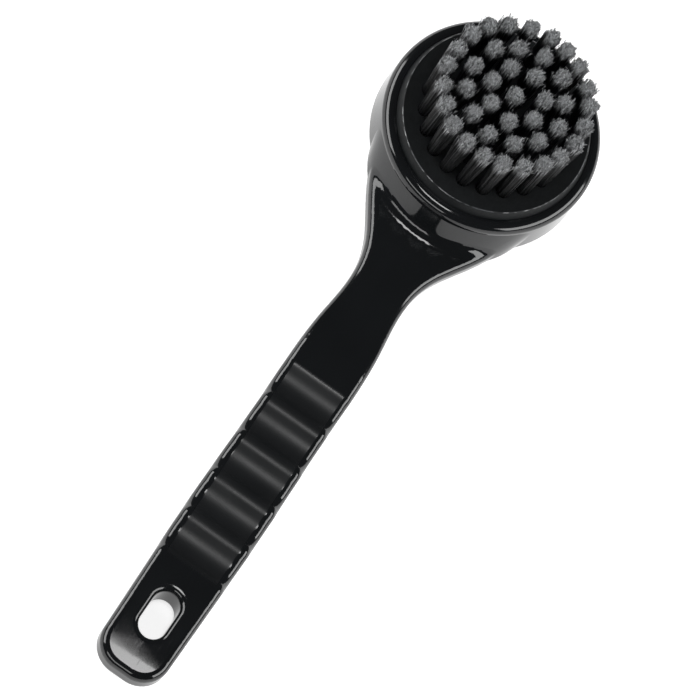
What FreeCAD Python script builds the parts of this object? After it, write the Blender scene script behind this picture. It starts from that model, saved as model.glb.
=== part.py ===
import FreeCAD, Part
import math
import os
import Sketcher

# Round-headed wheel brush with a one-piece moulded handle.
# Frame: origin at the centre of the head's flat back, +Z towards the bristle tips,
# the handle runs along -X and its hanging slot is at the far end. Millimetres.

DIMENSIONS = (
    ("head_radius", 38.0, "head wall radius at the back"),
    ("rim_radius", 37.5, "head wall radius at the rim"),
    ("rim_height", 18.0, "height at which the rim rounding starts"),
    ("rim_round", 3.6, "quarter-round of the rim"),
    ("rim_lip", 0.3, "how far the rim stands out and reaches down over the head wall"),
    ("back_round", 3.5, "rounding between the head wall and its back"),
    ("nose_radius", 29.5, "radius of the head's nose where the neck leaves it"),
    ("nose_offset", 17.6, "distance of the nose centre in front of the head centre"),
    ("nose_inset", 0.6, "how far the nose's top lies inside the rim"),
    ("neck_height", 9.0, "top of the neck beside the head"),
    ("grip_height", 12.6, "top of the grip's ribs"),
    ("heel_height", 8.6, "top of the hanging end"),
    ("arch_rise", 2.4, "how far the underside arches between head and heel"),
    ("neck_blend", 5.0, "hollow rounding between the neck's flat and the nose"),
    ("neck_flat_end", 54.0, "distance of the neck's low flat from the head centre"),
    ("groove_first", 116.5, "distance of the first finger groove"),
    ("groove_pitch", 16.85, "distance between finger grooves"),
    ("groove_count", 5, "number of finger grooves"),
    ("groove_depth", 2.4, "depth of a finger groove"),
    ("groove_radius", 10.6, "radius of a groove's hollow"),
    ("handle_end", 234.0, "distance of the handle's end"),
    ("end_corner", 10.0, "corner radius of the handle's end in plan"),
    ("end_half_width", 12.8, "half width of the handle at its end"),
    ("top_edge_round", 3.0, "rounding of the handle's top edges"),
    ("under_edge_round", 3.0, "rounding of the handle's lower edges"),
    ("slot_centre", 210.7, "distance of the hanging slot's centre"),
    ("slot_length", 17.6, "length of the hanging slot"),
    ("slot_width", 9.8, "width of the hanging slot"),
    ("slot_edge_round", 2.2, "rounding of the slot's edges"),
    ("floor_thickness", 3.0, "back wall of the head"),
    ("cup_radius", 33.8, "bore that takes the tuft plate"),
    ("ledge_height", 13.5, "ledge that the tuft plate rests on"),
    ("hollow_radius", 31.2, "hollow below the ledge"),
    ("bead_height", 17.0, "height of the snap bead's crest"),
    ("bead_size", 0.5, "how far the snap bead stands out"),
    ("bead_gap", 0.1, "clearance round the bead in its groove"),
    ("rib_thickness", 1.8, "stiffening ribs in the hollow"),
    ("boss_radius", 5.0, "centre boss in the hollow"),
    ("support_gap", 0.1, "gap between the ribs and the plate"),
    ("key_width", 4.0, "locating key width"),
    ("key_depth", 2.0, "locating key reach from the cup wall"),
    ("key_height", 2.5, "locating key height above the ledge"),
    ("key_gap", 0.15, "clearance round a locating key"),
    ("plate_radius", 33.6, "tuft plate radius inside the cup"),
    ("plate_top_radius", 32.6, "tuft plate radius at its top edge"),
    ("plate_top", 25.5, "top face of the tuft plate"),
    ("plate_edge", 0.4, "small chamfer round the top face"),
    ("tuft_hole_depth", 9.0, "depth of a tuft hole"),
    ("tuft_hole_radius", 2.5, "radius of a tuft hole"),
    ("tuft_gap", 0.05, "clearance between a tuft and its hole"),
    ("tuft_tip_radius", 3.05, "radius of a tuft near its tip"),
    ("tuft_tip_height", 53.5, "height of the bristle tips"),
    ("tuft_tip_round", 1.8, "rounding of a tuft's tip"),
    ("outer_ring_radius", 24.8, "outer ring of tufts"),
    ("outer_ring_count", 22, "tufts in the outer ring"),
    ("outer_ring_turn", 4.0, "angle of the outer ring's first tuft"),
    ("middle_ring_radius", 17.2, "middle ring of tufts"),
    ("middle_ring_count", 12, "tufts in the middle ring"),
    ("middle_ring_turn", -2.0, "angle of the middle ring's first tuft"),
    ("inner_ring_radius", 9.3, "inner ring of tufts"),
    ("inner_ring_count", 7, "tufts in the inner ring"),
    ("inner_ring_turn", -10.0, "angle of the inner ring's first tuft"),
    ("anchor_length", 5.8, "anchor wire length across the hole"),
    ("anchor_thickness", 0.35, "anchor wire thickness"),
    ("anchor_height", 2.0, "anchor wire height"),
    ("anchor_rise", 0.8, "height of the anchor wire above its hole's floor"),
    ("overlap", 1.0, "how far joined forms run into each other and cuts run past a face"),
)

# Half width of the handle at distances from the head centre. The first station lies inside the head.
HANDLE_HALF_WIDTHS = (
    (27.0, 26.6),
    (38.0, 22.2),
    (45.0, 18.2),
    (52.0, 14.3),
    (60.0, 11.5),
    (70.0, 10.6),
    (88.0, 12.2),
    (122.0, 12.9),
    (165.0, 13.5),
    (203.0, 13.1),
)

KEY_ANGLES = (45, 135, 225, 315)

doc = FreeCAD.newDocument("wheel_brush")
sheet = doc.addObject("Spreadsheet::Sheet", "dims")
for row, (alias, number, note) in enumerate(DIMENSIONS, start=1):
    sheet.set(f"A{row}", note)
    sheet.set(f"B{row}", str(number))
    sheet.setAlias(f"B{row}", alias)
doc.recompute()


def size(alias):
    """The value of one driving dimension."""
    return float(getattr(sheet, alias))


def bind(target, **expressions):
    """Bind properties of an object to expressions over the sheet."""
    for name, expression in expressions.items():
        target.setExpression(name, expression)
    return target


def value_of(expression):
    """Evaluate a sheet expression for a sketch's starting geometry."""
    return float(sheet.evalExpression(expression.replace("dims.", "")))


def add_part(kind, name, **expressions):
    """Add a Part primitive whose sizes are bound to the sheet."""
    return bind(doc.addObject(kind, name), **expressions)


def origin_plane(body, role):
    """One of a body's own origin planes."""
    return next(item for item in body.Origin.OriginFeatures if item.Role == role)


def add_sketch(body, name, role):
    """A sketch attached to one of the body's origin planes."""
    sketch = body.newObject("Sketcher::SketchObject", name)
    sketch.AttachmentSupport = (origin_plane(body, role), [""])
    sketch.MapMode = "FlatFace"
    return sketch


def pin_point(sketch, edge, expressions):
    """Hold an edge's start point at coordinates bound to the sheet."""
    for kind, axis, expression in zip(("DistanceX", "DistanceY"), (-2, -1), expressions):
        if expression == "0":
            sketch.addConstraint(Sketcher.Constraint("PointOnObject", edge, 1, axis))
            continue
        rule = Sketcher.Constraint(kind, edge, 1, value_of(expression))
        number = sketch.addConstraint(rule)
        sketch.setExpression(f"Constraints[{number}]", expression)


def polygon_sketch(body, name, role, points):
    """A closed outline of straight lines through points given as sheet expressions."""
    sketch = add_sketch(body, name, role)
    corners = [FreeCAD.Vector(value_of(across), value_of(up), 0) for across, up in points]
    count = len(corners)
    for index in range(count):
        sketch.addGeometry(Part.LineSegment(corners[index], corners[(index + 1) % count]))
    for index in range(count):
        following = (index + 1) % count
        sketch.addConstraint(Sketcher.Constraint("Coincident", index, 2, following, 1))
        pin_point(sketch, index, points[index])
    return sketch


def revolved_body(name, points):
    """A body of revolution about Z from a closed half outline."""
    body = doc.addObject("PartDesign::Body", name)
    sketch = polygon_sketch(body, name + "_outline", "XZ_Plane", points)
    turned = body.newObject("PartDesign::Revolution", name + "_turned")
    turned.Profile = sketch
    turned.ReferenceAxis = (sketch, ["V_Axis"])
    turned.Angle = 360
    doc.recompute()
    return body


def curve_body(name, role, edges, length):
    """A body padded both ways from a closed outline of curves."""
    body = doc.addObject("PartDesign::Body", name)
    sketch = add_sketch(body, name + "_outline", role)
    for edge in edges:
        sketch.addGeometry(edge)
    for index in range(len(edges)):
        link_nearest(sketch, index, (index + 1) % len(edges))
        sketch.addConstraint(Sketcher.Constraint("Block", index))
    pad = body.newObject("PartDesign::Pad", name + "_pad")
    pad.Profile = sketch
    pad.Midplane = True
    pad.setExpression("Length", length)
    doc.recompute()
    return body


def link_nearest(sketch, first, second):
    """Join the ends at which two neighbouring edges of an outline meet."""
    ends = [(one, two) for one in (1, 2) for two in (1, 2)]
    one, two = min(
        ends,
        key=lambda pair: sketch.getPoint(first, pair[0]).distanceToPoint(sketch.getPoint(second, pair[1])),
    )
    sketch.addConstraint(Sketcher.Constraint("Coincident", first, one, second, two))


def join(name, *pieces):
    """Fuse pieces into one solid."""
    fused = doc.addObject("Part::MultiFuse", name)
    fused.Shapes = list(pieces)
    return fused


def cut(name, base, tool):
    """Cut one object from another."""
    result = doc.addObject("Part::Cut", name)
    result.Base = base
    result.Tool = tool
    return result


def round_edges(name, base, radius, wanted):
    """Round every edge of a shape that the test picks."""
    doc.recompute()
    rounded = doc.addObject("Part::Fillet", name)
    rounded.Base = base
    picked = [index for index, edge in enumerate(base.Shape.Edges, start=1) if wanted(edge)]
    rounded.Edges = [(index, radius, radius) for index in picked]
    doc.recompute()
    return rounded


# ---------------------------------------------------------------- head shell

rim_top = "dims.rim_height + dims.rim_round"
cup_outline = [
    ("dims.hollow_radius", "dims.floor_thickness"),
    ("dims.hollow_radius", "dims.ledge_height"),
    ("dims.cup_radius", "dims.ledge_height"),
    ("dims.cup_radius", "dims.bead_height - 2 * dims.bead_size"),
    ("dims.cup_radius + dims.bead_size", "dims.bead_height"),
    ("dims.cup_radius", "dims.bead_height + 2 * dims.bead_size"),
]
head_turned = revolved_body("head_turned", [
    ("0", "0"),
    ("dims.head_radius", "0"),
    ("dims.rim_radius", "dims.rim_height - dims.rim_lip"),
    ("dims.rim_radius + dims.rim_lip", "dims.rim_height - dims.rim_lip"),
    ("dims.rim_radius + dims.rim_lip", rim_top),
    ("dims.cup_radius", rim_top),
    *reversed(cup_outline),
    ("0", "dims.floor_thickness"),
])
head_backed = round_edges(
    "head_backed", head_turned, size("back_round"),
    lambda edge: edge.BoundBox.ZMax < 0.01 and edge.Length > 6 * size("head_radius"),
)
head_shell = round_edges(
    "head_shell", head_backed, size("rim_round") - size("rim_lip"),
    lambda edge: edge.BoundBox.ZMin > size("bead_height") + size("rim_round")
    and edge.BoundBox.XMax > size("rim_radius"),
)


def nose_circle(name, radius, offset, height):
    """One end of the slanted form between the head and the neck."""
    circle = doc.addObject("Part::Circle", name)
    bind(circle, Radius=radius)
    bind(circle, **{"Placement.Base.x": f"-({offset})", "Placement.Base.z": height})
    return circle


nose = doc.addObject("Part::Loft", "nose")
nose.Sections = [
    nose_circle("nose_low", "dims.nose_radius", "dims.nose_offset", "0"),
    nose_circle(
        "nose_high", "dims.rim_radius - dims.nose_inset", "dims.nose_inset",
        "dims.rim_height - dims.rim_lip / 2",
    ),
]
nose.Solid = True
nose.Ruled = True
nose_rounded = round_edges(
    "nose_rounded", nose, size("under_edge_round"),
    lambda edge: edge.BoundBox.ZMax < 0.01,
)
cup = revolved_body("cup", [
    ("0", "dims.floor_thickness"),
    *cup_outline,
    ("dims.cup_radius", f"{rim_top} + dims.overlap"),
    ("0", f"{rim_top} + dims.overlap"),
])
nose_hollow = cut("nose_hollow", nose_rounded, cup)

# ------------------------------------------------------------------- handle

def half_outline(side):
    """The handle's long edge on one side, as one smooth curve."""
    curve = Part.BSplineCurve()
    points = [FreeCAD.Vector(-far, side * half, 0) for far, half in HANDLE_HALF_WIDTHS]
    corner = size("handle_end") - size("end_corner")
    points.append(FreeCAD.Vector(-corner, side * size("end_half_width"), 0))
    curve.interpolate(Points=points)
    return curve, points


def plan_edges():
    """The handle seen from above: two long edges, round corners and a closed inner end."""
    left, left_points = half_outline(1)
    right, right_points = half_outline(-1)
    corner = size("end_corner")
    end = -size("handle_end")
    half = size("end_half_width")
    slant = corner * (1 - math.sqrt(0.5))
    near = half - corner
    corner_left = Part.Arc(
        left_points[-1],
        FreeCAD.Vector(end + slant, half - slant, 0),
        FreeCAD.Vector(end, near, 0),
    )
    corner_right = Part.Arc(
        FreeCAD.Vector(end, -near, 0),
        FreeCAD.Vector(end + slant, slant - half, 0),
        right_points[-1],
    )
    tip = Part.LineSegment(FreeCAD.Vector(end, near, 0), FreeCAD.Vector(end, -near, 0))
    back = Part.BSplineCurve()
    back.interpolate(Points=right_points[::-1])
    inner = Part.LineSegment(right_points[0], left_points[0])
    return [left, corner_left, tip, corner_right, back, inner]


def tangent_arc(start, direction, finish):
    """An arc that leaves start along direction and ends at finish, with its end direction."""
    chord = finish - start
    turn = 2 * math.atan2(direction.x * chord.y - direction.y * chord.x, direction.dot(chord))
    middle = start + chord * 0.5
    bulge = math.tan(turn / 4) * chord.Length / 2
    across = FreeCAD.Vector(chord.y, -chord.x, 0).normalize()
    arc = Part.Arc(start, middle + across * bulge, finish)
    cosine, sine = math.cos(turn), math.sin(turn)
    leaving = FreeCAD.Vector(
        direction.x * cosine - direction.y * sine,
        direction.x * sine + direction.y * cosine,
        0,
    )
    return arc, leaving


def top_chain():
    """The handle's top line in side view, from inside the head to the end."""
    neck, grip = size("neck_height"), size("grip_height")
    pitch, depth = size("groove_pitch"), size("groove_depth")
    first = size("groove_first")
    reach = (pitch ** 2 / 4 + depth ** 2) / (2 * depth)
    drop = depth * size("groove_radius") / reach
    step = pitch / 2 * size("groove_radius") / reach
    stations = [(27.0, neck), (size("neck_flat_end"), neck)]
    crest_far = first - pitch / 2
    middle = (size("neck_flat_end") + crest_far) / 2
    stations.append((middle, (neck + grip) / 2))
    stations.append((crest_far, grip))
    for index in range(int(size("groove_count"))):
        centre = first + pitch * index
        stations.append((centre - step, grip - depth + drop))
        stations.append((centre + step, grip - depth + drop))
        stations.append((centre + pitch / 2, grip))
    stations.append((size("handle_end") + size("overlap"), size("heel_height")))
    return smooth_line(stations, -1)


def smooth_line(stations, direction):
    """A straight start and then tangent arcs through stations given as distance and height."""
    points = [FreeCAD.Vector(-far, up, 0) for far, up in stations]
    heading = FreeCAD.Vector(direction, 0, 0)
    edges = [Part.LineSegment(points[0], points[1])]
    for start, finish in zip(points[1:], points[2:]):
        arc, heading = tangent_arc(start, heading, finish)
        edges.append(arc)
    return edges, points


def under_line():
    """The underside in side view, from the end to inside the head: flat heel and an arch."""
    heel = size("handle_end") - size("end_corner")
    toe = size("neck_flat_end")
    crown = (heel + toe) / 2
    rise = size("arch_rise")
    stations = [
        (size("handle_end") + size("overlap"), 0),
        (heel, 0),
        ((heel + crown) / 2, rise / 2),
        (crown, rise),
        ((crown + toe) / 2, rise / 2),
        (toe, 0),
    ]
    return smooth_line(stations, 1)


def side_edges():
    """The handle seen from the side: wavy top line, square end and an arched underside."""
    edges, points = top_chain()
    first, last = points[0], points[-1]
    under, under_points = under_line()
    inner = FreeCAD.Vector(first.x, 0, 0)
    edges.append(Part.LineSegment(last, under_points[0]))
    edges.extend(under)
    edges.append(Part.LineSegment(under_points[-1], inner))
    edges.append(Part.LineSegment(inner, first))
    return edges


def on_long_edge(edge, upper):
    """Whether an edge runs round the handle's outside, along its top or its underside."""
    box = edge.BoundBox
    middle = size("heel_height") / 2
    if box.XMin > -HANDLE_HALF_WIDTHS[0][0] - 0.1:
        return False
    across_face = abs(box.YMax + box.YMin) < 0.1 and box.XMax > size("end_corner") - size("handle_end")
    level = box.ZMin > middle if upper else box.ZMax < middle
    return level and not across_face


plan_body = curve_body("handle_plan", "XY_Plane", plan_edges(), "4 * dims.grip_height")
side_body = curve_body("handle_side", "XZ_Plane", side_edges(), "4 * dims.head_radius")
handle_blank = doc.addObject("Part::MultiCommon", "handle_blank")
handle_blank.Shapes = [plan_body, side_body]

handle_topped = round_edges(
    "handle_topped", handle_blank, size("top_edge_round"),
    lambda edge: on_long_edge(edge, upper=True),
)
handle_rounded = round_edges(
    "handle_rounded", handle_topped, size("under_edge_round"),
    lambda edge: on_long_edge(edge, upper=False),
)

slot_middle = add_part(
    "Part::Box", "slot_middle",
    Length="dims.slot_length - dims.slot_width", Width="dims.slot_width",
    Height="2 * dims.grip_height",
)
bind(slot_middle, **{
    "Placement.Base.x": "-dims.slot_centre - (dims.slot_length - dims.slot_width) / 2",
    "Placement.Base.y": "-dims.slot_width / 2",
    "Placement.Base.z": "-dims.grip_height / 2",
})
slot_pieces = [slot_middle]
for name, sign in (("slot_near_end", "+"), ("slot_far_end", "-")):
    slot_end = add_part(
        "Part::Cylinder", name,
        Radius="dims.slot_width / 2", Height="2 * dims.grip_height",
    )
    bind(slot_end, **{
        "Placement.Base.x": f"-dims.slot_centre {sign} (dims.slot_length - dims.slot_width) / 2",
        "Placement.Base.z": "-dims.grip_height / 2",
    })
    slot_pieces.append(slot_end)
handle_slotted = cut("handle_slotted", handle_rounded, join("slot_tool", *slot_pieces))


def on_slot_rim(edge):
    """Whether an edge runs round the mouth of the hanging slot."""
    box = edge.BoundBox
    reach = size("slot_length") / 2 + 0.5
    wide = size("slot_width") / 2 + 0.5
    along = -size("slot_centre") - reach < box.XMin and box.XMax < reach - size("slot_centre")
    return along and abs(box.YMin) < wide and abs(box.YMax) < wide and box.ZLength < 2


handle_bar = round_edges("handle_bar", handle_slotted, size("slot_edge_round"), on_slot_rim)

# ---------------------------------------------------------------- head inside

bar_hollow = cut("bar_hollow", handle_bar, cup)

rib_height = "dims.ledge_height - dims.support_gap - dims.floor_thickness + dims.overlap"
inner_pieces = []
for name, turn in (("rib_along", 0), ("rib_across", 90)):
    rib = add_part(
        "Part::Box", name,
        Length="2 * dims.hollow_radius + 2 * dims.overlap", Width="dims.rib_thickness",
        Height=rib_height,
    )
    rotation = FreeCAD.Rotation(FreeCAD.Vector(0, 0, 1), turn)
    corner = FreeCAD.Vector(
        -size("hollow_radius") - size("overlap"),
        -size("rib_thickness") / 2,
        size("floor_thickness") - size("overlap"),
    )
    rib.Placement = FreeCAD.Placement(rotation.multVec(corner), rotation)
    inner_pieces.append(rib)
boss = add_part("Part::Cylinder", "boss", Radius="dims.boss_radius", Height=rib_height)
bind(boss, **{"Placement.Base.z": "dims.floor_thickness - dims.overlap"})
inner_pieces.append(boss)


def key_block(name, angle, spread, tall):
    """A block at the cup wall: a locating key, or the notch that fits over it."""
    block = add_part(
        "Part::Box", name,
        Length=f"dims.key_depth + {spread} + dims.overlap",
        Width=f"dims.key_width + 2 * {spread}",
        Height=f"dims.key_height + {tall}",
    )
    turn = FreeCAD.Rotation(FreeCAD.Vector(0, 0, 1), angle)
    inner = FreeCAD.Vector(
        size("cup_radius") - size("key_depth"),
        -size("key_width") / 2,
        size("ledge_height") - size("overlap"),
    )
    if spread != "0":
        inner += FreeCAD.Vector(-size("key_gap"), -size("key_gap"), 0)
    block.Placement = FreeCAD.Placement(turn.multVec(inner), turn)
    return block


keys = [key_block(f"key_{angle}", angle, "0", "dims.overlap") for angle in KEY_ANGLES]
inside = join("inside", *inner_pieces)
shell = join("shell", head_shell, nose_hollow, bar_hollow)


def at_neck_root(edge):
    """Whether an edge is the one in which the nose rises from the flat of the neck."""
    box = edge.BoundBox
    level = max(abs(box.ZMin - size("neck_height")), abs(box.ZMax - size("neck_height"))) < 0.05
    return level and box.YMin < -size("end_half_width") and box.YMax > size("end_half_width")


shell_blended = round_edges("shell_blended", shell, size("neck_blend"), at_neck_root)
handle_body = join("handle_body", shell_blended, inside, *keys)

# ---------------------------------------------------------------- tuft plate

plate_blank = revolved_body("plate_blank", [
    ("0", "dims.ledge_height"),
    ("dims.plate_radius", "dims.ledge_height"),
    ("dims.plate_radius", "dims.bead_height - 2 * dims.bead_size + dims.bead_gap"),
    ("dims.plate_radius + dims.bead_size", "dims.bead_height"),
    ("dims.plate_radius", "dims.bead_height + 2 * dims.bead_size - dims.bead_gap"),
    ("dims.plate_radius", rim_top),
    ("dims.plate_top_radius", "dims.plate_top - dims.plate_edge"),
    ("dims.plate_top_radius - dims.plate_edge", "dims.plate_top"),
    ("0", "dims.plate_top"),
])


def ring_places():
    """Plan position and angle of every tuft, ring by ring from the outside in."""
    places = []
    for ring in ("outer", "middle", "inner"):
        count = int(size(f"{ring}_ring_count"))
        for index in range(count):
            angle = size(f"{ring}_ring_turn") + 360 * index / count
            places.append((size(f"{ring}_ring_radius"), angle))
    places.append((0.0, 0.0))
    return places


def placed(distance, angle, across, height):
    """A placement on the head at a ring position, shifted along and across its radius."""
    turn = FreeCAD.Rotation(FreeCAD.Vector(0, 0, 1), angle)
    return FreeCAD.Placement(turn.multVec(FreeCAD.Vector(distance, across, height)), turn)


hole_floor = size("plate_top") - size("tuft_hole_depth")
anchor_seat = hole_floor + size("anchor_rise")
anchors = []
holes = []
wholes = []
tufts = []
for number, (distance, angle) in enumerate(ring_places(), start=1):
    hole = add_part(
        "Part::Cylinder", f"hole_{number:02d}",
        Radius="dims.tuft_hole_radius", Height="dims.tuft_hole_depth + dims.overlap",
    )
    hole.Placement = placed(distance, angle, 0, hole_floor)
    holes.append(hole)
    anchor = add_part(
        "Part::Box", f"anchor_{number:02d}",
        Length="dims.anchor_length", Width="dims.anchor_thickness", Height="dims.anchor_height",
    )
    half_long, half_thin = size("anchor_length") / 2, size("anchor_thickness") / 2
    anchor.Placement = placed(distance - half_long, angle, -half_thin, anchor_seat)
    anchors.append(anchor)
    root = add_part(
        "Part::Cylinder", f"tuft_root_{number:02d}",
        Radius="dims.tuft_hole_radius - dims.tuft_gap", Height="dims.tuft_hole_depth",
    )
    root.Placement = placed(distance, angle, 0, hole_floor)
    free_part = add_part(
        "Part::Cone", f"tuft_free_{number:02d}",
        Radius1="dims.tuft_hole_radius - dims.tuft_gap", Radius2="dims.tuft_tip_radius",
        Height="dims.tuft_tip_height - dims.plate_top",
    )
    free_part.Placement = placed(distance, angle, 0, size("plate_top"))
    whole = join(f"tuft_whole_{number:02d}", root, free_part)
    wholes.append(whole)
doc.recompute()


def on_tip(edge):
    """Whether an edge runs round a tuft's tip."""
    return edge.BoundBox.ZMin > size("tuft_tip_height") - 0.1


for number, (whole, anchor) in enumerate(zip(wholes, anchors), start=1):
    domed = doc.addObject("Part::Fillet", f"tuft_domed_{number:02d}")
    domed.Base = whole
    tip = next(index for index, edge in enumerate(whole.Shape.Edges, start=1) if on_tip(edge))
    domed.Edges = [(tip, size("tuft_tip_round"), size("tuft_tip_round"))]
    tufts.append(cut(f"tuft_{number:02d}", domed, anchor))

tuft_anchors = doc.addObject("Part::Compound", "tuft_anchors")
tuft_anchors.Links = anchors

notches = [
    key_block(f"notch_{angle}", angle, "dims.key_gap", "dims.key_gap + dims.overlap")
    for angle in KEY_ANGLES
]
plate_cuts = join("plate_cuts", *holes, *notches)
plate_holed = cut("plate_holed", plate_blank, plate_cuts)
tuft_plate = cut("tuft_plate", plate_holed, tuft_anchors)
doc.recompute()

# -------------------------------------------------------------------- export

subparts = [handle_body, tuft_plate, *tufts, tuft_anchors]
for item in doc.Objects:
    if "Invalid" in item.State or "Error" in item.State:
        raise RuntimeError(f"{item.Name} did not build: {item.State}")
for subpart in subparts:
    subpart.Label = subpart.Name
    if subpart.Shape.isNull() or not subpart.Shape.isValid():
        raise RuntimeError(f"{subpart.Label} has no valid shape")

os.makedirs("parts", exist_ok=True)
for subpart in subparts:
    subpart.Shape.exportStep(f"parts/{subpart.Label}.step")
    box = subpart.Shape.BoundBox
    print(
        subpart.Label, len(subpart.Shape.Solids), "solid", round(subpart.Shape.Volume / 1000, 3), "cm3",
        [round(edge, 2) for edge in (box.XMin, box.YMin, box.ZMin, box.XMax, box.YMax, box.ZMax)],
    )
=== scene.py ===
import math

import bpy
import numpy as np
from bpy.props import FloatProperty, FloatVectorProperty, IntProperty, PointerProperty
from mathutils import Matrix, Vector


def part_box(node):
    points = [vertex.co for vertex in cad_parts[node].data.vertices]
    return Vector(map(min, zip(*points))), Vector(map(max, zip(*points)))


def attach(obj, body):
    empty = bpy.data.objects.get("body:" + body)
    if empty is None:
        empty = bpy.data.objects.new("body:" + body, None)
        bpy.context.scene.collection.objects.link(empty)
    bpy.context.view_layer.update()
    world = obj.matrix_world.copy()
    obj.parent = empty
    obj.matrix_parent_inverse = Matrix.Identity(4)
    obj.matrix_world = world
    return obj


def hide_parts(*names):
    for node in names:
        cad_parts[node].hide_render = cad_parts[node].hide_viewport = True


bl_info = {
    "name": "Wheel brush looks",
    "version": (1, 0, 0),
    "blender": (4, 5, 0),
    "location": "3D View > Sidebar > Wheel brush",
    "description": "Bristle tufts, moulded plastic finishes and a studio round a packed wheel brush",
    "category": "Object",
}

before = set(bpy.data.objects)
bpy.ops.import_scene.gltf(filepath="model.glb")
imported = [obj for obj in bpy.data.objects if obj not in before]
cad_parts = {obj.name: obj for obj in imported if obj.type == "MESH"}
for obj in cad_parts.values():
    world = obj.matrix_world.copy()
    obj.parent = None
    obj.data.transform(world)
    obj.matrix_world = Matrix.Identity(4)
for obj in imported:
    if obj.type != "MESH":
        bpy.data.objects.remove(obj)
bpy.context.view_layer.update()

MM = 0.001
SEED = 41
TUFT_NODES = sorted(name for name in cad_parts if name.startswith("tuft_") and name[5:].isdigit())

# Places on the imported model: the grip's grooves and the line of flash, which is painted lighter as a
# painted highlight, lie at set distances from its edges
HANDLE_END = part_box("handle_body")[0][0]
PLATE_SIDE, _, PLATE_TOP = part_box("tuft_plate")[1]
TIP_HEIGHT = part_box(TUFT_NODES[0])[1][2]
GRIP_FAR = HANDLE_END + 42.5 * MM
GRIP_NEAR = HANDLE_END + 125.0 * MM
GRIP_HALF_WIDTH = 10.6 * MM
GRIP_FADE = 1.5 * MM
FLASH_HIGHLIGHT_RADIUS = PLATE_SIDE - 1.7 * MM
FLASH_HIGHLIGHT_FADE = 0.18 * MM

# How the filaments stand: depth in the hole, taper, and how much they scatter, bend and differ in length
ROOT_DEPTH = 0.4 * MM
SHANK_TAPER = 0.35
END_TAPER = 0.7
OUTER_RING = 20.0 * MM
TIP_SCATTER = 0.24 * MM
TUFT_SWAY = 0.28 * MM
FILAMENT_BEND = 0.16 * MM
LENGTH_SCATTER = 0.5 * MM
TIP_DOME = 2.0 * MM
END_SCATTER = 0.40 * MM

# Where the grey starts and is full, below the tips, and how far it moves with a filament's tone, which
# includes painted shade at each tuft's edge
TONE_SHIFT = 2.6 * MM
GREY_START = 8.0 * MM
GREY_FULL = 0.6 * MM

# Roughness that scuffs and the finger grooves add to the polished moulding
SCUFF_DULLING = 0.22
GRIP_DULLING = 0.30

# Studio: each panel's name, place, size and power, and the point that they face
BRUSH_MIDDLE = (-0.09, 0.0, 0.01)
HEAD_HEIGHT = 18.0 * MM
TABLE_SIZE = 6.0
TABLE_DROP = 0.1 * MM
PANELS = (
    ("left_panel", (-0.10, 1.15, 0.60), (1.5, 0.60), 17.0),
    ("right_panel", (-0.10, -1.15, 0.60), (1.5, 0.60), 17.0),
    ("front_panel", (-1.25, 0.25, 0.70), (0.9, 0.30), 3.5),
    ("top_panel", (-0.22, 0.0, 1.6), (0.34, 0.34), 4.0),
)


class TuftSettings(bpy.types.PropertyGroup):
    """Sizes of the bristle tufts."""

    filaments: IntProperty(
        name="Filaments", description="Filaments in one tuft", default=230, min=20, max=400)
    thickness: FloatProperty(
        name="Filament radius", description="Radius of one filament", default=0.16 * MM,
        subtype="DISTANCE", unit="LENGTH")
    root_radius: FloatProperty(
        name="Root radius", description="Radius of the bundle where it leaves the plate",
        default=2.25 * MM, subtype="DISTANCE", unit="LENGTH")
    spread: FloatProperty(
        name="Spread", description="How much wider the bundle is at its tips", default=1.28)
    lean: FloatProperty(
        name="Lean", description="How far the outer tufts lean outwards at their tips",
        default=0.3 * MM, subtype="DISTANCE", unit="LENGTH")
    splits: IntProperty(
        name="Splits", description="Fine ends that each filament splits into", default=2, min=0, max=4)
    split_length: FloatProperty(
        name="Split length", description="Length of the fine split ends", default=3.2 * MM,
        subtype="DISTANCE", unit="LENGTH")


class FinishSettings(bpy.types.PropertyGroup):
    """Colours of the brush."""

    handle_colour: FloatVectorProperty(
        name="Handle", description="Glossy moulded plastic", subtype="COLOR", size=4,
        default=(0.0035, 0.0040, 0.0045, 1.0), min=0.0, max=1.0)
    plate_colour: FloatVectorProperty(
        name="Plate", description="Matte tuft plate", subtype="COLOR", size=4,
        default=(0.0045, 0.0053, 0.0058, 1.0), min=0.0, max=1.0)
    shank_colour: FloatVectorProperty(
        name="Filament shank", description="Dark part of the filaments", subtype="COLOR", size=4,
        default=(0.0035, 0.0038, 0.0042, 1.0), min=0.0, max=1.0)
    tip_colour: FloatVectorProperty(
        name="Filament tip", description="Flagged grey ends of the filaments", subtype="COLOR", size=4,
        default=(0.50, 0.51, 0.52, 1.0), min=0.0, max=1.0)
    wire_colour: FloatVectorProperty(
        name="Anchor wire", description="Galvanised anchor wire", subtype="COLOR", size=4,
        default=(0.60, 0.60, 0.58, 1.0), min=0.0, max=1.0)


class StudioSettings(bpy.types.PropertyGroup):
    """Where the camera stands and what it aims at."""

    tilt: FloatProperty(
        name="Tilt", description="Angle between the view and straight down", default=math.radians(24.8),
        subtype="ANGLE", unit="ROTATION")
    swing: FloatProperty(
        name="Swing", description="How far the camera stands off the handle's plane",
        default=math.radians(4.4), subtype="ANGLE", unit="ROTATION")
    roll: FloatProperty(
        name="Roll", description="How far the handle is turned in the view",
        default=math.radians(51.0), subtype="ANGLE", unit="ROTATION")
    distance: FloatProperty(
        name="Distance", description="Camera distance", default=6.0, subtype="DISTANCE", unit="LENGTH")
    lens: FloatProperty(
        name="Lens", description="Focal length in millimetres on a 36 mm sensor", default=926.0)
    aim_right: FloatProperty(
        name="Aim right", description="How far the head stands right of the middle of the view",
        default=0.0469, subtype="DISTANCE", unit="LENGTH")
    aim_up: FloatProperty(
        name="Aim up", description="How far the head stands above the middle of the view",
        default=0.0738, subtype="DISTANCE", unit="LENGTH")


# ------------------------------------------------------------------ node helpers

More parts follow.
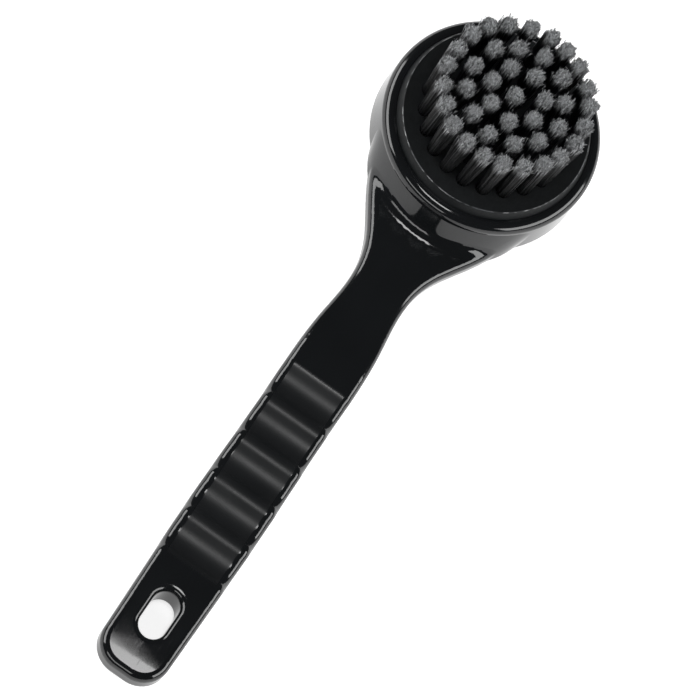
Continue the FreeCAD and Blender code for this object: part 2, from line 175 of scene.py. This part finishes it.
def new_group(name, inputs, outputs):
    """An empty shader node group with named sockets, and its input and output nodes."""
    group = bpy.data.node_groups.new(name, "ShaderNodeTree")
    for label, kind, default in inputs:
        socket = group.interface.new_socket(name=label, in_out="INPUT", socket_type=kind)
        if default is not None:
            socket.default_value = default
    for label, kind in outputs:
        group.interface.new_socket(name=label, in_out="OUTPUT", socket_type=kind)
    return group, group.nodes.new("NodeGroupInput"), group.nodes.new("NodeGroupOutput")


def add_node(tree, kind, **values):
    """Add a node, set its properties, and its inputs where the name is a socket's."""
    node = tree.nodes.new(kind)
    for name, value in values.items():
        if hasattr(node, name):
            setattr(node, name, value)
        else:
            node.inputs[name.replace("_", " ").title()].default_value = value
    return node


def grain_group():
    """Moulding grain: a fine height pattern and a slow tone variation."""
    group, given, made = new_group(
        "moulding_grain",
        [("Vector", "NodeSocketVector", None), ("Grain Size", "NodeSocketFloat", 2500.0),
         ("Tone Size", "NodeSocketFloat", 60.0)],
        [("Height", "NodeSocketFloat"), ("Tone", "NodeSocketFloat")],
    )
    grain = add_node(group, "ShaderNodeTexNoise", detail=3.0, roughness=0.6)
    tone = add_node(group, "ShaderNodeTexNoise", detail=4.0, roughness=0.5)
    link = group.links.new
    link(given.outputs["Vector"], grain.inputs["Vector"])
    link(given.outputs["Vector"], tone.inputs["Vector"])
    link(given.outputs["Grain Size"], grain.inputs["Scale"])
    link(given.outputs["Tone Size"], tone.inputs["Scale"])
    link(grain.outputs["Fac"], made.inputs["Height"])
    link(tone.outputs["Fac"], made.inputs["Tone"])
    return group


def scuff_group():
    """Fine handling scuffs along the brush, as a mask from 0 to 1."""
    group, given, made = new_group(
        "handling_scuffs",
        [("Vector", "NodeSocketVector", None), ("Amount", "NodeSocketFloat", 0.5)],
        [("Mask", "NodeSocketFloat")],
    )
    link = group.links.new
    stretch = add_node(group, "ShaderNodeMapping")
    stretch.inputs["Scale"].default_value = (60.0, 1400.0, 900.0)
    stretch.inputs["Rotation"].default_value = (0.0, 0.0, 0.35)
    lines = add_node(group, "ShaderNodeTexNoise", detail=2.0)
    lines.inputs["Scale"].default_value = 1.0
    patches = add_node(group, "ShaderNodeTexNoise", detail=2.0)
    patches.inputs["Scale"].default_value = 45.0
    link(given.outputs["Vector"], stretch.inputs["Vector"])
    link(stretch.outputs["Vector"], lines.inputs["Vector"])
    link(given.outputs["Vector"], patches.inputs["Vector"])
    fine = ramp(group, lines.outputs["Fac"], 0.0, 1.0, 0.62, 0.72)
    local = ramp(group, patches.outputs["Fac"], 0.0, 1.0, 0.48, 0.70)
    link(product(group, fine, local, given.outputs["Amount"]), made.inputs["Mask"])
    return group


def new_material(name):
    """A material with its Principled shader and an Object coordinate node."""
    material = bpy.data.materials.new(name)
    material.use_nodes = True
    tree = material.node_tree
    shader = next(node for node in tree.nodes if node.type == "BSDF_PRINCIPLED")
    place = tree.nodes.new("ShaderNodeTexCoord")
    return material, tree, shader, place


def use_group(tree, name, maker):
    """Place a shared node group in a material, building it the first time."""
    node = tree.nodes.new("ShaderNodeGroup")
    node.node_tree = bpy.data.node_groups.get(name) or maker()
    return node


def ramp(tree, source, low, high, from_low, from_high):
    """Map a value from one range to another, smoothly and clamped."""
    node = tree.nodes.new("ShaderNodeMapRange")
    node.interpolation_type = "SMOOTHSTEP"
    node.inputs["From Min"].default_value = from_low
    node.inputs["From Max"].default_value = from_high
    node.inputs["To Min"].default_value = low
    node.inputs["To Max"].default_value = high
    tree.links.new(source, node.inputs["Value"])
    return node.outputs["Result"]


def product(tree, *factors):
    """Multiply values together."""
    result = factors[0]
    for factor in factors[1:]:
        node = add_node(tree, "ShaderNodeMath", operation="MULTIPLY")
        tree.links.new(result, node.inputs[0])
        tree.links.new(factor, node.inputs[1])
        result = node.outputs["Value"]
    return result


def scaled_sum(tree, value, scale, offset):
    """Value times a fixed scale, plus an offset from another socket."""
    node = add_node(tree, "ShaderNodeMath", operation="MULTIPLY_ADD")
    tree.links.new(value, node.inputs[0])
    node.inputs[1].default_value = scale
    tree.links.new(offset, node.inputs[2])
    return node.outputs["Value"]


def bump(tree, shader, height, strength, depth):
    """Feed a height pattern into the shader's normal."""
    node = tree.nodes.new("ShaderNodeBump")
    node.inputs["Strength"].default_value = strength
    node.inputs["Distance"].default_value = depth
    tree.links.new(height, node.inputs["Height"])
    tree.links.new(node.outputs["Normal"], shader.inputs["Normal"])


# --------------------------------------------------------------------- materials

def glossy_plastic(colour):
    """Glossy black moulding: faint orange peel, gloss variation, scuffs and duller finger grooves."""
    material, tree, shader, place = new_material("glossy_black_plastic")
    shader.inputs["IOR"].default_value = 1.50
    grain = use_group(tree, "moulding_grain", grain_group)
    grain.inputs["Grain Size"].default_value = 420.0
    grain.inputs["Tone Size"].default_value = 35.0
    scuffs = use_group(tree, "handling_scuffs", scuff_group)
    scuffs.inputs["Amount"].default_value = 0.5
    link = tree.links.new
    link(place.outputs["Object"], grain.inputs["Vector"])
    link(place.outputs["Object"], scuffs.inputs["Vector"])
    gloss = ramp(tree, grain.outputs["Tone"], 0.055, 0.11, 0.35, 0.65)
    scuffed = scaled_sum(tree, scuffs.outputs["Mask"], SCUFF_DULLING, gloss)
    rough = scaled_sum(tree, grip_mask(tree, place), GRIP_DULLING, scuffed)
    link(rough, shader.inputs["Roughness"])
    tint = add_node(tree, "ShaderNodeMix", data_type="RGBA")
    tint.inputs["A"].default_value = colour
    tint.inputs["B"].default_value = tuple(1.9 * part for part in colour[:3]) + (1.0,)
    link(grain.outputs["Tone"], tint.inputs["Factor"])
    link(tint.outputs["Result"], shader.inputs["Base Color"])
    bump(tree, shader, grain.outputs["Height"], 0.05, 0.04 * MM)
    return material


def grip_mask(tree, place):
    """Where the finger grooves are: their moulded surface is duller than the rest of the handle."""
    split = tree.nodes.new("ShaderNodeSeparateXYZ")
    tree.links.new(place.outputs["Object"], split.inputs["Vector"])
    across = add_node(tree, "ShaderNodeMath", operation="ABSOLUTE")
    tree.links.new(split.outputs["Y"], across.inputs[0])
    return product(
        tree,
        ramp(tree, split.outputs["X"], 0.0, 1.0, GRIP_FAR - GRIP_FADE, GRIP_FAR + GRIP_FADE),
        ramp(tree, split.outputs["X"], 1.0, 0.0, GRIP_NEAR - GRIP_FADE, GRIP_NEAR + GRIP_FADE),
        ramp(tree, across.outputs["Value"], 1.0, 0.0, GRIP_HALF_WIDTH - MM, GRIP_HALF_WIDTH),
    )


def flash_and_highlight_ring(tree, place, grain):
    """A thin, broken ring where the plate's side meets its top face: the flash, glossier than the plate,
    and a painted highlight along it.
    """
    split = tree.nodes.new("ShaderNodeSeparateXYZ")
    tree.links.new(place.outputs["Object"], split.inputs["Vector"])
    flat = tree.nodes.new("ShaderNodeCombineXYZ")
    tree.links.new(split.outputs["X"], flat.inputs["X"])
    tree.links.new(split.outputs["Y"], flat.inputs["Y"])
    radius = add_node(tree, "ShaderNodeVectorMath", operation="LENGTH")
    tree.links.new(flat.outputs["Vector"], radius.inputs[0])
    return product(
        tree,
        ramp(tree, radius.outputs["Value"], 0.0, 1.0, FLASH_HIGHLIGHT_RADIUS - FLASH_HIGHLIGHT_FADE, FLASH_HIGHLIGHT_RADIUS),
        ramp(tree, radius.outputs["Value"], 1.0, 0.0, FLASH_HIGHLIGHT_RADIUS, FLASH_HIGHLIGHT_RADIUS + FLASH_HIGHLIGHT_FADE),
        ramp(tree, grain.outputs["Tone"], 0.1, 1.0, 0.42, 0.58),
    )


def matte_plastic(colour):
    """Matte plate: spark-eroded grain and a thin, glossier line of flash round the top edge, whose lighter
    colour is a painted highlight.
    """
    material, tree, shader, place = new_material("matte_black_plastic")
    grain = use_group(tree, "moulding_grain", grain_group)
    grain.inputs["Grain Size"].default_value = 900.0
    grain.inputs["Tone Size"].default_value = 320.0
    link = tree.links.new
    link(place.outputs["Object"], grain.inputs["Vector"])
    flash_and_highlight = flash_and_highlight_ring(tree, place, grain)
    link(ramp(tree, flash_and_highlight, 0.50, 0.20, 0.0, 1.0), shader.inputs["Roughness"])
    link(ramp(tree, flash_and_highlight, 0.18, 0.9, 0.0, 1.0), shader.inputs["Specular IOR Level"])
    tint = add_node(tree, "ShaderNodeMix", data_type="RGBA")
    tint.inputs["A"].default_value = tuple(0.6 * part for part in colour[:3]) + (1.0,)
    tint.inputs["B"].default_value = tuple(1.7 * part for part in colour[:3]) + (1.0,)
    link(grain.outputs["Tone"], tint.inputs["Factor"])
    # The flash line's lighter base colour is a painted highlight along the plate's top edge
    line = add_node(tree, "ShaderNodeMix", data_type="RGBA")
    line.inputs["B"].default_value = (0.07, 0.075, 0.08, 1.0)
    link(flash_and_highlight, line.inputs["Factor"])
    link(tint.outputs["Result"], line.inputs["A"])
    link(line.outputs["Result"], shader.inputs["Base Color"])
    bump(tree, shader, grain.outputs["Height"], 0.6, 0.15 * MM)
    return material


def filament_material(shank, tip):
    """Dark filaments whose flagged ends turn grey; each filament has its own random tone, and a tuft's
    outer filaments are darker as painted shade between the tufts.
    """
    material, tree, shader, place = new_material("flagged_filament")
    shader.inputs["Roughness"].default_value = 0.42
    shader.inputs["IOR"].default_value = 1.45
    link = tree.links.new
    split = tree.nodes.new("ShaderNodeSeparateXYZ")
    link(place.outputs["Object"], split.inputs["Vector"])
    tone = tree.nodes.new("ShaderNodeAttribute")
    tone.attribute_name = "tone_and_painted_shade"
    # The tone attribute holds random tone plus painted shade at each tuft's edge; it lowers the grey and
    # darkens the tips
    height = scaled_sum(tree, tone.outputs["Fac"], TONE_SHIFT, split.outputs["Z"])
    grey = ramp(tree, height, 0.0, 1.0, TIP_HEIGHT - GREY_START, TIP_HEIGHT - GREY_FULL)
    shade = ramp(tree, tone.outputs["Fac"], 0.25, 1.35, -0.2, 1.1)
    bright = add_node(tree, "ShaderNodeMix", data_type="RGBA", blend_type="MULTIPLY")
    bright.inputs["Factor"].default_value = 1.0
    bright.inputs["A"].default_value = tip
    link(shade, bright.inputs["B"])
    mix = add_node(tree, "ShaderNodeMix", data_type="RGBA")
    mix.inputs["A"].default_value = shank
    link(grey, mix.inputs["Factor"])
    link(bright.outputs["Result"], mix.inputs["B"])
    link(mix.outputs["Result"], shader.inputs["Base Color"])
    return material


def galvanised_wire(colour):
    """Drawn, galvanised anchor wire with a fine spangle."""
    material, tree, shader, place = new_material("galvanised_wire")
    shader.inputs["Metallic"].default_value = 1.0
    grain = use_group(tree, "moulding_grain", grain_group)
    grain.inputs["Grain Size"].default_value = 900.0
    link = tree.links.new
    link(place.outputs["Object"], grain.inputs["Vector"])
    link(ramp(tree, grain.outputs["Height"], 0.28, 0.5, 0.3, 0.7), shader.inputs["Roughness"])
    shader.inputs["Base Color"].default_value = colour
    bump(tree, shader, grain.outputs["Height"], 0.2, 0.02 * MM)
    return material


def finish_node(name, material):
    """Give a CAD node its material."""
    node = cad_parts[name]
    node.data.materials.clear()
    node.data.materials.append(material)


# ------------------------------------------------------------------------ pieces

class BRUSH_OT_handle_finish(bpy.types.Operator):
    """Finish the moulded handle in glossy black plastic"""

    bl_idname = "brush.handle_finish"
    bl_label = "Handle finish"

    def execute(self, context):
        finish_node("handle_body", glossy_plastic(tuple(context.scene.brush_finish.handle_colour)))
        return {"FINISHED"}


class BRUSH_OT_plate_finish(bpy.types.Operator):
    """Finish the tuft plate in matte black plastic"""

    bl_idname = "brush.plate_finish"
    bl_label = "Plate finish"

    def execute(self, context):
        finish_node("tuft_plate", matte_plastic(tuple(context.scene.brush_finish.plate_colour)))
        return {"FINISHED"}


class BRUSH_OT_anchor_finish(bpy.types.Operator):
    """Finish the anchor wires in galvanised steel"""

    bl_idname = "brush.anchor_finish"
    bl_label = "Anchor finish"

    def execute(self, context):
        finish_node("tuft_anchors", galvanised_wire(tuple(context.scene.brush_finish.wire_colour)))
        return {"FINISHED"}


def filament_model(sides, rings):
    """One upright filament of unit radius and length, modelled by extruding a small polygon."""
    bpy.ops.object.select_all(action="DESELECT")
    bpy.ops.mesh.primitive_circle_add(vertices=sides, radius=1.0, fill_type="NGON")
    model = bpy.context.object
    bpy.ops.object.mode_set(mode="EDIT")
    bpy.ops.mesh.select_all(action="SELECT")
    for start, finish in zip(rings, rings[1:]):
        bpy.ops.mesh.extrude_region_move(
            TRANSFORM_OT_translate={"value": (0.0, 0.0, finish - start)})
    bpy.ops.mesh.select_all(action="SELECT")
    bpy.ops.mesh.normals_make_consistent(inside=False)
    bpy.ops.object.mode_set(mode="OBJECT")
    points = np.array([vertex.co[:] for vertex in model.data.vertices])
    faces = [tuple(face.vertices) for face in model.data.polygons]
    bpy.data.objects.remove(model)
    return points, faces


def bow(along):
    """How much of its bend a filament shows at a fraction of its length."""
    return np.sin(math.pi * along) * 0.6 + along ** 2 * 0.4


def strands(model, roots, tips, bend, radius, taper, draw):
    """Place a copy of the modelled strand between each root and tip, bent sideways on its way."""
    points, faces = model
    count = len(roots)
    along = points[:, 2]
    width = radius * (1.0 - taper * along ** 3)
    turn = draw.uniform(0.0, 2 * math.pi, count)
    cosine, sine = np.cos(turn)[:, None], np.sin(turn)[:, None]
    across_x = (points[:, 0] * cosine - points[:, 1] * sine) * width
    across_y = (points[:, 0] * sine + points[:, 1] * cosine) * width
    placed = roots[:, None, :] + (tips - roots)[:, None, :] * along[None, :, None]
    placed[:, :, 0] += across_x + bend[:, 0:1] * bow(along)
    placed[:, :, 1] += across_y + bend[:, 1:2] * bow(along)
    every = placed.reshape(-1, 3)
    step = len(points)
    loops = [tuple(corner + step * index for corner in face) for index in range(count) for face in faces]
    return every, loops


def tuft_piece(name, shank_model, end_model, settings, draw):
    """One tuft: a bundle of filaments from its hole to split, feathered tips."""
    low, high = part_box(name)
    centre = np.array([(low[0] + high[0]) / 2, (low[1] + high[1]) / 2])
    away = np.linalg.norm(centre)
    outward = centre / away if away > OUTER_RING else np.zeros(2)
    count = settings.filaments
    ring = np.sqrt(draw.uniform(0.0, 1.0, count))
    angle = draw.uniform(0.0, 2 * math.pi, count)
    offset = np.stack([np.cos(angle), np.sin(angle)], axis=1) * ring[:, None] * settings.root_radius
    roots = np.zeros((count, 3))
    roots[:, :2] = centre + offset
    roots[:, 2] = PLATE_TOP - ROOT_DEPTH
    tips = np.zeros((count, 3))
    jitter = draw.standard_t(3.0, (count, 2)).clip(-6.0, 6.0) * TIP_SCATTER
    sway = draw.normal(0.0, TUFT_SWAY, 2)
    tips[:, :2] = centre + offset * settings.spread + outward * settings.lean + sway + jitter
    dome = TIP_DOME * ring ** 2.5
    tips[:, 2] = high[2] - LENGTH_SCATTER - dome - np.abs(draw.normal(0.0, LENGTH_SCATTER, count))
    bend = draw.normal(0.0, FILAMENT_BEND, (count, 2))
    verts, faces = strands(shank_model, roots, tips, bend, settings.thickness, SHANK_TAPER, draw)
    # Random tone per filament, less a painted shade that darkens each tuft's outer filaments where the
    # tufts meet
    random_tone_minus_edge_shade = draw.uniform(0.25, 1.0, count) - 0.45 * ring ** 3
    tone_and_shade_points = np.repeat(random_tone_minus_edge_shade, len(shank_model[0]))
    parts, part_faces, tone_and_shade_parts = [verts], list(faces), [tone_and_shade_points]
    for _ in range(settings.splits):
        drop = settings.split_length * draw.uniform(0.5, 1.0, count)
        share = drop / (tips[:, 2] - roots[:, 2])
        begin = tips - (tips - roots) * share[:, None]
        begin[:, :2] += bend * bow(1 - share)[:, None]
        finish = tips.copy()
        finish[:, :2] += bend * 0.4 + draw.normal(0.0, END_SCATTER, (count, 2))
        finish[:, 2] += draw.uniform(-0.5, 0.4, count) * MM
        ends, end_faces = strands(
            end_model, begin, finish, np.zeros((count, 2)), settings.thickness * 0.6, END_TAPER, draw)
        shift = sum(len(part) for part in parts)
        parts.append(ends)
        part_faces.extend(tuple(corner + shift for corner in face) for face in end_faces)
        tone_and_shade_parts.append(np.repeat(random_tone_minus_edge_shade + draw.uniform(-0.1, 0.2, count), len(end_model[0])))
    mesh = bpy.data.meshes.new(f"bristle_{name}")
    mesh.from_pydata(np.concatenate(parts).tolist(), [], part_faces)
    tone = mesh.attributes.new("tone_and_painted_shade", "FLOAT", "POINT")
    tone.data.foreach_set("value", np.concatenate(tone_and_shade_parts))
    mesh.update()
    piece = bpy.data.objects.new(f"bristle_{name}", mesh)
    bpy.context.collection.objects.link(piece)
    return piece


class BRUSH_OT_tufts(bpy.types.Operator):
    """Build the bristle tufts as bundles of filaments with feathered grey tips"""

    bl_idname = "brush.tufts"
    bl_label = "Bristle tufts"

    def execute(self, context):
        settings = context.scene.brush_tufts
        finish = context.scene.brush_finish
        material = filament_material(tuple(finish.shank_colour), tuple(finish.tip_colour))
        draw = np.random.default_rng(SEED)
        shank_model = filament_model(4, (0.0, 0.25, 0.5, 0.75, 0.9, 1.0))
        end_model = filament_model(3, (0.0, 0.5, 1.0))
        for name in TUFT_NODES:
            piece = tuft_piece(name, shank_model, end_model, settings, draw)
            piece.data.materials.append(material)
            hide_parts(name)
            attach(piece, "root")
        return {"FINISHED"}


# ------------------------------------------------------------------------- stage

def add_panel(name, place, target, size, power):
    """A soft rectangular light that faces a target."""
    lamp = bpy.data.lights.new(name, "AREA")
    lamp.shape = "RECTANGLE"
    lamp.size, lamp.size_y = size
    lamp.energy = power
    holder = bpy.data.objects.new(name, lamp)
    bpy.context.collection.objects.link(holder)
    holder.location = place
    holder.rotation_euler = (Vector(target) - Vector(place)).to_track_quat("-Z", "Y").to_euler()


def add_camera(studio):
    """The camera, above and behind the handle, turned so that the head is at the upper right."""
    tilt, swing, roll = studio.tilt, studio.swing, studio.roll
    along = Vector((math.cos(swing), -math.sin(swing), 0.0))
    across = Vector((math.sin(swing), math.cos(swing), 0.0))
    leaning = along * math.cos(tilt) + Vector((0.0, 0.0, math.sin(tilt)))
    right = leaning * math.cos(roll) - across * math.sin(roll)
    up = leaning * math.sin(roll) + across * math.cos(roll)
    back = right.cross(up)
    head = Vector((0.0, 0.0, HEAD_HEIGHT))
    target = head - right * studio.aim_right - up * studio.aim_up
    data = bpy.data.cameras.new("camera")
    data.lens = studio.lens
    data.sensor_width = 36.0
    data.clip_end = 30.0
    camera = bpy.data.objects.new("camera", data)
    bpy.context.collection.objects.link(camera)
    turn = Matrix((right, up, back)).transposed().to_4x4()
    camera.matrix_world = Matrix.Translation(target + back * studio.distance) @ turn
    bpy.context.scene.camera = camera


def studio_world():
    """Surroundings that look white but give the brush only a dim, even light."""
    world = bpy.data.worlds.new("studio")
    world.use_nodes = True
    nodes = world.node_tree.nodes
    backdrop = nodes["Background"]
    backdrop.inputs["Color"].default_value = (1.0, 1.0, 1.0, 1.0)
    seen = nodes.new("ShaderNodeLightPath")
    level = nodes.new("ShaderNodeMapRange")
    level.inputs["To Min"].default_value = 0.055
    level.inputs["To Max"].default_value = 0.95
    world.node_tree.links.new(seen.outputs["Is Camera Ray"], level.inputs["Value"])
    world.node_tree.links.new(level.outputs["Result"], backdrop.inputs["Strength"])
    return world


def floor_material():
    """Plain white table, a little self-lit so that it stays even."""
    material, _, shader, _ = new_material("white_table")
    shader.inputs["Base Color"].default_value = (0.82, 0.82, 0.82, 1.0)
    shader.inputs["Roughness"].default_value = 0.9
    shader.inputs["Emission Color"].default_value = (1.0, 1.0, 1.0, 1.0)
    shader.inputs["Emission Strength"].default_value = 0.75
    return material


class BRUSH_OT_stage(bpy.types.Operator):
    """Lay the brush on a white table under soft light, and place the camera"""

    bl_idname = "brush.stage"
    bl_label = "Stage"

    def execute(self, context):
        bpy.ops.object.select_all(action="DESELECT")
        bpy.ops.mesh.primitive_plane_add(size=TABLE_SIZE, location=(0.0, 0.0, -TABLE_DROP))
        table = context.object
        table.name = "table"
        bpy.ops.object.transform_apply(location=True, rotation=True, scale=True)
        table.data.materials.append(floor_material())
        for name, place, size, power in PANELS:
            add_panel(name, place, BRUSH_MIDDLE, size, power)
        context.scene.world = studio_world()
        context.scene.view_settings.view_transform = "Standard"
        add_camera(context.scene.brush_studio)
        return {"FINISHED"}


class BRUSH_PT_panel(bpy.types.Panel):
    """Sidebar panel that lists the brush's steps and settings"""

    bl_label = "Wheel brush"
    bl_idname = "BRUSH_PT_panel"
    bl_space_type = "VIEW_3D"
    bl_region_type = "UI"
    bl_category = "Wheel brush"

    def draw(self, context):
        layout = self.layout
        for operator in OPERATORS:
            layout.operator(operator.bl_idname)
        for group in (context.scene.brush_tufts, context.scene.brush_finish, context.scene.brush_studio):
            for name in group.__annotations__:
                layout.prop(group, name)


OPERATORS = (
    BRUSH_OT_handle_finish,
    BRUSH_OT_plate_finish,
    BRUSH_OT_anchor_finish,
    BRUSH_OT_tufts,
    BRUSH_OT_stage,
)
SETTINGS = {"brush_tufts": TuftSettings, "brush_finish": FinishSettings, "brush_studio": StudioSettings}


def register():
    """Register the settings, steps and panel."""
    for item in (*SETTINGS.values(), *OPERATORS, BRUSH_PT_panel):
        bpy.utils.register_class(item)
    for name, kind in SETTINGS.items():
        setattr(bpy.types.Scene, name, PointerProperty(type=kind))


def unregister():
    """Remove what register added."""
    for name in SETTINGS:
        delattr(bpy.types.Scene, name)
    for item in (BRUSH_PT_panel, *reversed(OPERATORS), *SETTINGS.values()):
        bpy.utils.unregister_class(item)


def main():
    """Build the looks step by step."""
    register()
    for operator in OPERATORS:
        family, step = operator.bl_idname.split(".")
        getattr(getattr(bpy.ops, family), step)()


if __name__ == "__main__":
    main()
